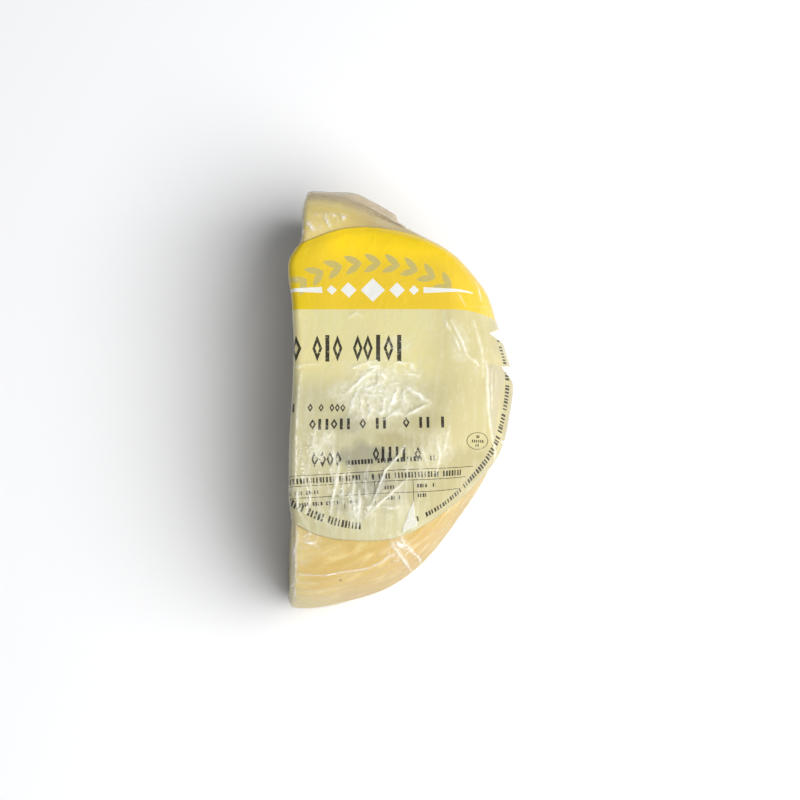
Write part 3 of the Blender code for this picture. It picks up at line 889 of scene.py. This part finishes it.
def flat_place(point, turned):
    """Label millimetres of a point of the even half, as the film would lie unfolded."""
    a, b, z = point
    if turned > 0:
        a = FOLD_A - EDGE_ARC * turned
        if turned == 1:
            a -= HEIGHT - CUT_EDGE_ROUND - z
    else:
        angle = math.atan2(b, a)
        way = place_on_rind(math.hypot(a, b), z)[0]
        way *= skin_length(*rim_shape(math.degrees(angle))) / EVEN_LENGTH
        a, b = way * math.cos(angle), way * math.sin(angle)
    return (a - LABEL_A) / MM, (b - LABEL_B) / MM


def ridge(even):
    """Depth of the basket ridges at a point of the even half, from 0 to 1."""
    way = place_on_rind(math.hypot(*even.xy), even.z)[0]
    side = smooth_step(*RIDGES_FROM, way) * smooth_step(*RIDGES_FOOT, even.z)
    worn = WORN_SHARE * smooth_step(*WORN_FROM, even.y) * smooth_step(*WORN_ABOVE, even.z)
    return side * (1 - worn) * (1 - math.cos(2 * math.pi * way / RIDGE_PITCH)) / 2


def make_film():
    """The clear film, shrunk on the cheese, with its creases, seam and pleats."""
    bm = even_half(FILM_CELL)
    whitening_and_glints = []
    for corner in bm.verts:
        even, normal, turned = round_cut_edge(corner.co)
        height, white = wrinkle(*flat_place(even, turned))
        rise = smooth_step(*FILM_RISE, even.z)
        sag = FILM_SAG * ridge(even) * (1 - turned)
        moved = film_relief(follow_rim(even)) + normal * (FILM_CREASE * height * MM * rise - sag)
        corner.co = settle(moved) + AXIS
        # whiteness of the crests, stress whitening with painted glints
        whitening_and_glints.append(white * rise)
    film = new_piece("film_skin", bm, "film_pack")
    paint_values(film, "white", whitening_and_glints)
    return film


def make_cheese():
    """The half cheese inside, with the basket's ridges on its rind and a smooth cut."""
    bm = even_half(CHEESE_CELL)
    on_cut = []
    for corner in bm.verts:
        even, normal, turned = round_cut_edge(corner.co)
        sunk = CHEESE_GAP + CHEESE_RIDGE * ridge(even) * (1 - turned)
        sunk -= CHEESE_UNEVEN * noise.noise(even * CHEESE_GRAIN)
        corner.co = settle(pleat_dent(follow_rim(even) - normal * sunk)) + AXIS
        on_cut.append(turned)
    cheese = new_piece("half_cheese", bm, "film_pack")
    paint_values(cheese, "cut", on_cut)
    return cheese


class Finish:
    """Short words for the nodes of one material."""

    def __init__(self, name):
        self.material = bpy.data.materials.new(name)
        self.material.use_nodes = True
        self.tree = self.material.node_tree
        self.shader = self.tree.nodes["Principled BSDF"]

    def fill(self, node, values):
        """Gives each named socket of a node its value, or a link where that is a socket."""
        for name, value in values.items():
            if isinstance(value, bpy.types.NodeSocket):
                self.tree.links.new(value, node.inputs[name])
            else:
                node.inputs[name].default_value = value

    def surface(self, values):
        """The finished material, with these values in its own shader."""
        self.fill(self.shader, values)
        return self.material

    def node(self, kind, values, **settings):
        """The outputs of a new node."""
        node = self.tree.nodes.new("ShaderNode" + kind)
        for name, value in settings.items():
            setattr(node, name, value)
        self.fill(node, values)
        return node.outputs

    def math(self, operation, *values, clamp=False):
        return self.node("Math", dict(enumerate(values)), operation=operation, use_clamp=clamp)[0]

    def scaled(self, value, times, plus, clamp=False):
        return self.math("MULTIPLY_ADD", value, times, plus, clamp=clamp)

    def away(self, value, middle):
        return self.math("ABSOLUTE", self.math("SUBTRACT", value, middle))

    def squares(self, first, second):
        """The squares of two values together."""
        return self.math("ADD", self.both(first, first), self.both(second, second))

    def inside(self, value, low, high):
        """1 where value lies between low and high."""
        return self.math("COMPARE", value, (low + high) / 2, (high - low) / 2)

    def box(self, along, height, span, rows):
        return self.both(self.inside(along, *span), self.inside(height, *rows))

    def both(self, first, second):
        return self.math("MULTIPLY", first, second)

    def either(self, first, *others):
        for other in others:
            first = self.math("MAXIMUM", first, other)
        return first

    def mix(self, factor, first, second):
        ends = {"Factor": factor, 6: first, 7: second}
        return self.node("Mix", ends, data_type="RGBA")[2]

    def tints(self, under, *layers):
        """A colour with layers over it, each one with a colour, a mask and a strength."""
        for over, mask, strength in layers:
            under = self.mix(self.math("MULTIPLY", mask, strength, clamp=True), under, over)
        return under

    def attribute(self, name):
        return self.node("Attribute", {}, attribute_name=name)["Fac"]

    def place(self):
        return self.node("TexCoord", {})["Object"]

    def map(self, name):
        return self.node("UVMap", {}, uv_map=name)[0]

    def stretch(self, vector, scale, turn=0.0, shift=(0, 0, 0)):
        values = {"Vector": vector, "Location": shift, "Rotation": (0, 0, turn), "Scale": scale}
        return self.node("Mapping", values)["Vector"]

    def split(self, vector):
        return tuple(self.node("SeparateXYZ", {0: vector}))

    def noise(self, vector, scale, detail=3.0, roughness=0.5, distortion=0.0):
        values = {"Vector": vector, "Scale": scale, "Detail": detail}
        values |= {"Roughness": roughness, "Distortion": distortion}
        return self.node("TexNoise", values)["Fac"]

    def clouds(self, low, high, *noise):
        """Noise as a mask: 0 where it is low, 1 where it is high."""
        return self.ramp(self.noise(*noise), low, high)

    def chance(self, place, span, rows):
        """A random number for each whole step of place, differing from row to row."""
        seed = self.math("ADD", self.math("FLOOR", place), 3.1 * span[0] + rows[0])
        return self.node("TexWhiteNoise", {"W": seed}, noise_dimensions="1D")["Value"]

    def crests(self, vector, scale, detail=3.0):
        """1 on thin curved lines, falling off to both sides."""
        off = self.away(self.noise(vector, scale, detail, 0.5, 0.5), 0.5)
        return self.math("SUBTRACT", 1.0, self.math("MULTIPLY", off, 6.0), clamp=True)

    def ramp(self, value, low, high):
        """0 where value is low, 1 where it is high, smooth between."""
        values = {"Value": value, "From Min": low, "From Max": high}
        return self.node("MapRange", values, interpolation_type="SMOOTHSTEP")["Result"]

    def bump(self, height, strength):
        values = {"Height": height, "Strength": strength, "Distance": BUMP_DEPTH}
        return self.node("Bump", values)["Normal"]

    def see_through(self, cover, normal, roughness, most_shine):
        """Makes the surface clear and shiny, hiding what lies behind as far as cover says."""
        clear = self.node("BsdfTransparent", {})[0]
        shine = self.node("BsdfGlossy", {"Roughness": roughness, "Normal": normal})[0]
        slant = self.node("Fresnel", {"IOR": FILM_IOR, "Normal": normal})[0]
        shining = self.math("MINIMUM", slant, most_shine)
        skin = self.node("MixShader", {0: shining, 1: clear, 2: shine})[0]
        whole = self.node("MixShader", {0: cover, 1: skin, 2: self.shader.outputs[0]})[0]
        self.fill(self.tree.nodes["Material Output"], {"Surface": whole})


def colour(*values):
    """A linear opaque colour from red, green and blue of the usual 0 to 255."""
    shares = (value / 255 for value in values)
    return *(s / 12.92 if s <= 0.04045 else ((s + 0.055) / 1.055) ** 2.4 for s in shares), 1


BUMP_DEPTH = 0.0004
FILM_IOR = 1.55
MOST_SHINE = 0.12
FOLD_SHINE = 0.04
FILM_ROUGHNESS = 0.25
CREAM = colour(216, 208, 151)
CREAM_WARM = colour(220, 207, 149)
CREAM_LOW = colour(186, 180, 144)
CREAM_PALE = colour(213, 210, 184)
CREAM_DRAB = colour(180, 170, 126)
CREAM_GREY = colour(156, 152, 130)
# Painted shade: the field is darker towards its right side
CREAM_SHADED_SIDE = colour(198, 187, 138)
PLEAT_CREAM = colour(191, 181, 146)
# White of crease crests: stress whitening and painted highlights
CREASE_WHITENING_AND_HIGHLIGHT = colour(250, 249, 236)
# Milky haze of the film, and the white of its painted glints
FILM_HAZE_AND_GLINTS = colour(254, 252, 242)
FLAP_WHITE = colour(238, 236, 222)
SEAM_TINT = colour(224, 202, 156)
# Painted shade along the seam band's edges
SEAM_EDGE_SHADE = colour(168, 162, 146)
LEMON = colour(214, 185, 6)
YELLOW_TOP = colour(246, 210, 24)
YELLOW = colour(226, 192, 50)
YELLOW_WARM = colour(224, 190, 60)
YELLOW_PALE = colour(240, 206, 60)
INK = colour(29, 27, 27)
PRINT_WHITE = colour(228, 227, 220)
LEAF = colour(192, 177, 104)
BAND_EDGE = 25.6
# Large marks, in shares of their pitch and height, and how often one is blank or a lozenge
BAR_WIDTH = 0.20
LOZENGE_RING = (0.22, 0.5)
BLANK_CHANCE = 0.10
LOZENGE_CHANCE = 0.62
# Ticks: how much their width varies, their least width, and how often one is blank
TICK_VARIES = 0.40
TICK_LEAST = 0.34
TICK_BLANK = 0.12


def marks(finish, along, height, span, rows, pitch, gaps=()):
    """Mask of a row of upright bars and open lozenges, as plain stand-ins for print."""
    middle = sum(rows) / 2
    tall = rows[1] - rows[0]
    place = finish.math("DIVIDE", along, pitch)
    x = finish.away(finish.math("FRACT", place), 0.5)
    y = finish.math("ABSOLUTE", finish.scaled(height, 1 / tall, -middle / tall))
    chance = finish.chance(place, span, rows)
    across = finish.scaled(x, 1.05, y)
    bar = finish.both(finish.math("LESS_THAN", x, BAR_WIDTH), finish.math("LESS_THAN", y, 0.5))
    is_bar = finish.math("GREATER_THAN", chance, LOZENGE_CHANCE)
    lozenge = finish.math("SUBTRACT", finish.inside(across, *LOZENGE_RING), is_bar)
    mark = finish.math("MAXIMUM", finish.both(bar, is_bar), lozenge)
    mark = finish.both(mark, finish.math("GREATER_THAN", chance, BLANK_CHANCE))
    mark = finish.both(mark, finish.inside(along, *span))
    for gap in gaps:
        mark = finish.math("SUBTRACT", mark, finish.inside(along, *gap), clamp=True)
    return finish.both(mark, finish.inside(height, *rows))


def ticks(finish, along, height, span, rows, pitch):
    """Mask of a row of fine print, as short upright ticks of uneven width in groups."""
    place = finish.math("DIVIDE", along, pitch)
    chance = finish.chance(place, span, rows)
    width = finish.scaled(chance, TICK_VARIES, TICK_LEAST)
    mark = finish.math("LESS_THAN", finish.math("FRACT", place), width)
    mark = finish.both(mark, finish.math("GREATER_THAN", chance, TICK_BLANK))
    return finish.both(finish.box(along, height, span, rows), mark)


# Rows of the dark print. Large marks: ends, lower and upper edge, pitch, and the gaps.
LARGE_ROWS = (
    ((-45.0, 11.25), (6.7, 16.3), 3.75, ((-26.25, -22.5), (-11.25, -7.5))),
    ((-42.9, -5.85), (-11.4, -8.3), 1.95, ((-27.3, -23.4), (-21.45, -19.5), (-17.55, -15.6))),
    ((-21.6, -10.8), (-31.0, -25.3), 2.7, ()),
    ((0.0, 17.15), (-28.9, -23.6), 2.45, ()),
)
# The row that rises to the right, and the turn that levels it
RISING_ROW = (
    (-38.25, 25.5), (-17.3, -13.4), 2.55,
    ((-28.05, -22.95), (-7.65, -5.1), (7.65, 10.2), (12.75, 15.3)),
)
RISING_TURN = math.radians(-1.3)
# The ruled table, which rises more: fine rows, rules and dividers in its own level
TABLE_TURN = math.radians(-3.5)
TABLE_ROWS = (
    ((-11.0, 22.0), (-29.6, -27.9), 1.15),
    ((-34.0, 31.0), (-35.3, -33.3), 1.15),
    ((-32.0, -21.0), (-39.2, -37.9), 0.95),
    ((0.5, 6.0), (-39.0, -37.7), 0.95),
    ((13.0, 20.0), (-38.8, -37.5), 0.95),
    ((-29.0, -14.0), (-43.3, -42.0), 0.95),
    ((-11.0, -7.0), (-43.3, -42.0), 0.95),
    ((0.0, 7.0), (-42.6, -41.3), 0.95),
    ((13.0, 16.5), (-42.2, -40.9), 0.95),
)
TABLE_RULES = ((-32.5, 36.0), (-36.2, 33.0), (-40.4, 30.0))
TABLE_DIVIDERS = ((-12.6, -40.4, -45.0), (-1.6, -36.2, -45.0), (11.8, -36.2, -43.5))
TABLE_LEFT = -60
RULE_WIDTH = 0.22
# Rows that follow the label's edge, by the way along it
EDGE_ROWS = ((-68.0, 18.6), (-112.0, -84.5))
EDGE_RADII = (50.6, 52.9)
EDGE_PITCH = 1.25
# The oval's centre, half axes and line, and its rows of ticks: lower edge and half length
OVAL = (38.6, -20.9, 4.9, 3.1)
OVAL_LINE = (0.88, 1.0)
OVAL_ROWS = ((-19.9, 1.0), (-21.5, 3.0), (-23.0, 1.0))
OVAL_TALL = 1.0
OVAL_PITCH = 0.9


def ruled_table(finish, place):
    """Masks of the ruled table: its rows of ticks, its rules and its dividers."""
    p, q, _ = finish.split(finish.stretch(place, (1, 1, 1), TABLE_TURN))
    masks = [ticks(finish, p, q, *row) for row in TABLE_ROWS]
    for low, end in TABLE_RULES:
        masks.append(finish.box(p, q, (TABLE_LEFT, end), (low, low + RULE_WIDTH)))
    for left, top, bottom in TABLE_DIVIDERS:
        masks.append(finish.box(p, q, (left, left + RULE_WIDTH), (bottom, top)))
    return masks


def edge_print(finish, p, q):
    """Masks of the rows of ticks along the label's edge."""
    radius = finish.math("SQRT", finish.squares(p, q))
    way = finish.math("MULTIPLY", finish.math("ARCTAN2", q, p), sum(EDGE_RADII) / 2)
    return [ticks(finish, way, radius, span, EDGE_RADII, EDGE_PITCH) for span in EDGE_ROWS]


def oval_mark(finish, p, q):
    """Masks of the oval and of its rows of ticks."""
    middle_p, middle_q, half_p, half_q = OVAL
    off_p = finish.scaled(p, 1 / half_p, -middle_p / half_p)
    off_q = finish.scaled(q, 1 / half_q, -middle_q / half_q)
    masks = [finish.inside(finish.squares(off_p, off_q), *OVAL_LINE)]
    for low, half in OVAL_ROWS:
        span = (middle_p - half, middle_p + half)
        masks.append(ticks(finish, p, q, span, (low, low + OVAL_TALL), OVAL_PITCH))
    return masks


def dark_print(finish, p, q, place):
    """Mask of all the dark print: rows of plain marks, a ruled table and an oval."""
    rise_p, rise_q, _ = finish.split(finish.stretch(place, (1, 1, 1), RISING_TURN))
    return finish.either(
        *(marks(finish, p, q, *row) for row in LARGE_ROWS),
        marks(finish, rise_p, rise_q, *RISING_ROW),
        *ruled_table(finish, place),
        *edge_print(finish, p, q),
        *oval_mark(finish, p, q),
    )


# The spray of leaves: radius and centre of its arc, and its pairs of leaves
LEAF_ARC = (47.0, -4.5)
LEAF_STEPS = range(-4, 5)
LEAF_APART = math.radians(8.2)
LEAF_SIZE = (3.5, 1.2)
LEAF_LEAN = math.radians(32)
LEAF_OUT = 1.5


def leaf(finish, p, q, middle, turn):
    """Mask of one pointed leaf, where two equal circles overlap."""
    half_length, half_width = LEAF_SIZE
    bulge = (half_length**2 - half_width**2) / (2 * half_width)
    discs = []
    for side in (-bulge, bulge):
        off_p = finish.math("SUBTRACT", p, middle[0] - side * math.sin(turn))
        off_q = finish.math("SUBTRACT", q, middle[1] + side * math.cos(turn))
        far = finish.squares(off_p, off_q)
        discs.append(finish.math("LESS_THAN", far, (half_width + bulge) ** 2))
    return finish.both(*discs)


def leaf_spray(finish, p, q):
    """Mask of pairs of leaves along a shallow arc."""
    radius, low = LEAF_ARC
    masks = []
    for step in LEAF_STEPS:
        turn = math.pi / 2 - LEAF_APART * step
        for side in (-1, 1):
            out = radius + LEAF_OUT * side
            middle = (out * math.cos(turn), out * math.sin(turn) + low)
            masks.append(leaf(finish, p, q, middle, turn - math.pi / 2 - side * LEAF_LEAN))
    return finish.either(*masks)


# The row of lozenges: places, half lengths and height. From 18 mm out on both sides, and as
# long again, a rule takes it up, which thins outwards
LOZENGES = ((0, 4.3), (-8.6, 2.8), (8.6, 2.8), (-14.6, 1.8), (14.6, 1.8))
LOZENGE_LINE = 32.6
WHITE_RULE = 18.0
WHITE_RULE_HALF = 1.1
WHITE_RULE_THINS = 0.05


def white_print(finish, p, q):
    """Mask of the white ornament: lozenges on a rule that thins outwards."""
    off = finish.away(q, LOZENGE_LINE)
    masks = [
        finish.math("LESS_THAN", finish.math("ADD", finish.away(p, middle), off), half)
        for middle, half in LOZENGES
    ]
    out = finish.math("SUBTRACT", finish.math("ABSOLUTE", p), WHITE_RULE)
    thin = finish.scaled(out, -WHITE_RULE_THINS, WHITE_RULE_HALF)
    rule = finish.both(finish.math("LESS_THAN", off, thin), finish.inside(out, 0, WHITE_RULE))
    return finish.either(*masks, rule)


def label_field(finish, place, p, q):
    """Colour of the label's translucent lower part, over the cheese and over air, with painted
    shade towards its right side and on drab slopes.
    """
    fibres = finish.stretch(place, (0.5, 0.06, 1))
    return finish.tints(
        CREAM,
        (CREAM_WARM, finish.clouds(0.40, 0.66, place, 0.07, 3, 0.5, 0.4), 0.8),
        (CREAM_LOW, finish.ramp(q, 6.5, -6), 0.8),
        # darker towards the right: painted shade
        (CREAM_SHADED_SIDE, finish.ramp(p, 14, 30), 0.85),
        (CREAM_PALE, finish.clouds(0.48, 0.78, fibres, 1.0, 4), 0.35),
        (CREAM_PALE, finish.clouds(0.55, 0.75, place, 0.35, 3, 0.6, 0.8), 0.35),
        # grey where air is behind and painted shade at the rolled edge; drab is painted shade
        (CREAM_GREY, finish.attribute("grey"), 0.80),
        (CREAM_DRAB, finish.attribute("drab"), 0.85),
        (CREAM_PALE, finish.attribute("pale"), 0.80),
        (PLEAT_CREAM, finish.attribute("pleat"), 0.95),
    )


def label_band(finish, place, p, q):
    """Colour of the yellow band with its leaves and lozenges."""
    fibres = finish.stretch(place, (0.3, 0.04, 1))
    upper = finish.both(finish.ramp(q, 39, 50), finish.ramp(p, -24, -12))
    return finish.tints(
        LEMON,
        (YELLOW, finish.ramp(p, -34, -14), 1.0),
        (YELLOW_WARM, finish.ramp(p, 8, 40), 0.8),
        (YELLOW_TOP, upper, 0.85),
        (YELLOW_PALE, finish.clouds(0.5, 0.8, fibres, 1.0, 3), 0.35),
        (LEAF, leaf_spray(finish, p, q), 1.0),
        (PRINT_WHITE, white_print(finish, p, q), 1.0),
    )


def label_material():
    """Printed film: a yellow band over a translucent cream field, creased and glossy, with
    painted highlights along its creases.
    """
    finish = Finish("label print")
    size = 2 * LABEL_RADIUS / MM
    place = finish.stretch(finish.map("print"), (size, size, 1), 0.0, (-size / 2, -size / 2, 0))
    p, q, _ = finish.split(place)
    white = finish.attribute("white")
    pale = finish.attribute("pale")
    in_band = finish.math("GREATER_THAN", q, BAND_EDGE)
    whole = finish.mix(in_band, label_field(finish, place, p, q), label_band(finish, place, p, q))
    # Print fades in flecks of wear, where the film is milky, and under the painted crease
    # highlights
    flecks = finish.noise(finish.stretch(place, (0.7, 2.2, 1)), 0.9, 3, 0.6)
    worn = finish.scaled(pale, 0.10, finish.scaled(white, 0.5, flecks))
    ink = finish.both(dark_print(finish, p, q, place), finish.ramp(worn, 0.72, 0.60))
    # Fine crumples where the film is milky: a bump, and thin white lines of painted highlight
    creased = finish.both(finish.math("POWER", finish.crests(place, 0.28, 2), 3.0), pale)
    white = finish.scaled(creased, 0.6, white, clamp=True)
    height = finish.scaled(finish.noise(place, 0.5, 3), 0.5, finish.crests(place, 0.16))
    normal = finish.bump(finish.math("ADD", height, creased), 0.16)
    return finish.surface(
        {
            "Base Color": finish.tints(whole, (INK, ink, 0.95), (CREASE_WHITENING_AND_HIGHLIGHT, white, 0.88)),
            "Normal": normal,
            "Coat Normal": normal,
            "Roughness": 0.5,
            "Specular IOR Level": 0.0,
            "Coat Weight": 1.0,
            "Coat Roughness": 0.12,
            "Coat IOR": FILM_IOR,
        }
    )


def film_material():
    """Clear shrunk film: the cheese shows through, creases catch the light, and their crests are
    painted white with stress whitening and glints.
    """
    finish = Finish("clear film")
    place = finish.place()
    cover = finish.scaled(finish.clouds(0.52, 0.74, place, 75, 3, 0.5, 0.5), 0.10, 0.03)
    # White crests make the film opaque there: stress whitening and painted glints
    cover = finish.scaled(finish.attribute("white"), 0.92, cover, clamp=True)
    finish.see_through(cover, finish.bump(finish.crests(place, 260), 0.20), 0.07, MOST_SHINE)
    return finish.surface({"Base Color": FILM_HAZE_AND_GLINTS, "Roughness": FILM_ROUGHNESS})


def fold_material(name, tint, edge_highlight_and_shade, lines, least, most, edge_cover, fade=None):
    """Doubled film, milkier than one layer, with fine lines along its length, and its edges
    tinted with the given painted highlight or painted shade.
    """
    finish = Finish(name)
    _, v, _ = finish.split(finish.map("fold"))
    place = finish.stretch(finish.map("fold"), (5.0, lines, 1))
    threads = finish.noise(place, 1.0, 4, 0.6, 0.3)
    edge = finish.ramp(finish.math("ABSOLUTE", finish.scaled(v, 2.0, -1.0)), 0.80, 0.94)
    cover = finish.scaled(finish.ramp(threads, 0.38, 0.66), most - least, least)
    cover = finish.scaled(edge, edge_cover, cover, clamp=True)
    if fade:
        cover = finish.both(cover, finish.ramp(v, 0.0, fade))
    finish.see_through(cover, finish.bump(threads, 0.25), 0.08, FOLD_SHINE)
    # painted highlight or painted shade along the edges, as given
    whole = finish.tints(tint, (edge_highlight_and_shade, edge, 0.6))
    return finish.surface({"Base Color": whole, "Roughness": FILM_ROUGHNESS})


RIND = colour(206, 176, 100)
RIND_LEFT = colour(218, 199, 130)
RIND_PALE = colour(222, 201, 136)
RIND_DEEP = colour(206, 169, 86)
RIND_BACK = colour(237, 217, 130)
RIND_BACK_RIGHT = colour(216, 192, 120)
CURD = colour(214, 198, 142)
CURD_DEEP = colour(198, 179, 120)
# Dots of painted shade, standing in for the paste's small eyes
CURD_EYE_SHADE = colour(158, 132, 78)
SPECK = colour(120, 72, 34)
# Brown specks on the rind: place and size
SPECKS = ((-10.5, -73.2, 0.0007), (9.0, -67.0, 0.0004))


def specks(finish, place):
    """Layers with the brown specks of the rind."""
    for p, q, size in SPECKS:
        ends = {0: place, 1: on_label(p, q, -CHEESE_GAP)}
        off = finish.node("VectorMath", ends, operation="DISTANCE")["Value"]
        yield SPECK, finish.ramp(off, size, size * 0.6), 0.9


def cheese_material():
    """Oiled yellow rind with pale scuffs on its ridges, and a finer paste at the cut, whose small
    eyes are dots of painted shade.
    """
    finish = Finish("cheese")
    place = finish.place()
    x, y, _ = finish.split(place)
    flat = finish.stretch(place, (1, 1, 4))
    back = finish.mix(finish.ramp(x, -0.026, -0.008), RIND_BACK, RIND_BACK_RIGHT)
    rind = finish.tints(
        finish.mix(finish.ramp(x, -0.036, -0.014), RIND_LEFT, RIND),
        (RIND_DEEP, finish.clouds(0.40, 0.62, place, 42, 3), 0.5),
        (RIND_PALE, finish.clouds(0.50, 0.68, flat, 110, 3, 0.5, 0.3), 0.8),
        (back, finish.ramp(y, 0.035, 0.06), 0.9),
        *specks(finish, place),
    )
    curd = finish.tints(
        CURD,
        (CURD_DEEP, finish.clouds(0.35, 0.70, place, 300, 5, 0.6), 0.8),
        # small eyes as dots of painted shade
        (CURD_EYE_SHADE, finish.clouds(0.71, 0.77, place, 330, 1, 0.3), 0.7),
    )
    cut = finish.ramp(finish.attribute("cut"), 0.45, 0.6)
    return finish.surface(
        {
            "Base Color": finish.mix(cut, rind, curd),
            "Roughness": 0.45,
            "Subsurface Weight": 0.3,
            "Subsurface Radius": (1.0, 0.6, 0.3),
            "Subsurface Scale": 0.003,
            "Normal": finish.bump(finish.noise(place, 700, 4, 0.6), 0.25),
        }
    )


def look_at(piece, place, aim):
    """Puts a camera or a light at a place, looking at a point."""
    piece.location = place
    piece.rotation_mode = "QUATERNION"
    piece.rotation_quaternion = (Vector(aim) - Vector(place)).to_track_quat("-Z", "Y")


CAMERA_AIM = Vector((0.000365, -0.00072, 0.02987))
CAMERA_RISE = math.radians(80)
CAMERA_FAR = 0.9
CAMERA_WIDTH = 0.292


def set_camera():
    """The photo's steep view from the front."""
    data = bpy.data.cameras.new("camera")
    data.lens = data.sensor_width * CAMERA_FAR / CAMERA_WIDTH
    camera = show("camera", data)
    back = Vector((0, -math.cos(CAMERA_RISE), math.sin(CAMERA_RISE)))
    look_at(camera, CAMERA_AIM + back * CAMERA_FAR, CAMERA_AIM)
    bpy.context.scene.camera = camera


# Lights: name, place, aim, width, depth and power
KEY = ("key", (0.832, -0.388, 1.33), (0, 0, 0.02), 1.7, 1.35, 40)
GLINT = ("glint_left", (-0.30, 0.05, 1.05), (0, 0, 0.03), 0.16, 0.16, 0.6)
SURROUND = (0.93, 0.97, 1.06, 1)
SURROUND_STRENGTH = 0.205
FLOOR_HALF = 3.0
FLOOR = {"Base Color": (0.9, 0.9, 0.9, 1), "Roughness": 0.9}


def add_light(name, place, aim, width, depth, power):
    """A rectangular light that looks at a point."""
    data = bpy.data.lights.new(name, "AREA")
    data.shape = "RECTANGLE"
    data.size = width
    data.size_y = depth
    data.energy = power
    light = show(name, data)
    look_at(light, place, aim)
    return light


def make_stage():
    """A plain white floor, a wide soft light from the right and a pale surround."""
    bm = bmesh.new()
    bmesh.ops.create_grid(bm, x_segments=1, y_segments=1, size=FLOOR_HALF)
    floor = show("floor", mesh_of("floor", bm))
    floor.data.materials.append(Finish("floor").surface(FLOOR))
    world = bpy.data.worlds.new("surround")
    bpy.context.scene.world = world
    world.use_nodes = True
    background = world.node_tree.nodes["Background"]
    background.inputs["Color"].default_value = SURROUND
    background.inputs["Strength"].default_value = SURROUND_STRENGTH
    add_light(*KEY).visible_glossy = False
    add_light(*GLINT).visible_diffuse = False


def main():
    make_cheese().data.materials.append(cheese_material())
    make_film().data.materials.append(film_material())
    make_label().data.materials.append(label_material())
    # The flap's edges get a painted highlight, the seam's edges painted shade
    milky = fold_material("milky fold", FLAP_WHITE, CREASE_WHITENING_AND_HIGHLIGHT, 1.5, 0.50, 0.64, 0.28)
    dull = fold_material("dull seam", SEAM_TINT, SEAM_EDGE_SHADE, 12, 0.46, 0.78, 0.10, fade=0.6)
    make_fold("label_flap", LABEL_FLAP, True, FLAP_SLANT).data.materials.append(milky)
    make_fold("seam_band", SEAM_BAND, False).data.materials.append(dull)
    make_stage()
    set_camera()
    bpy.context.scene.view_settings.view_transform = "Standard"


main()
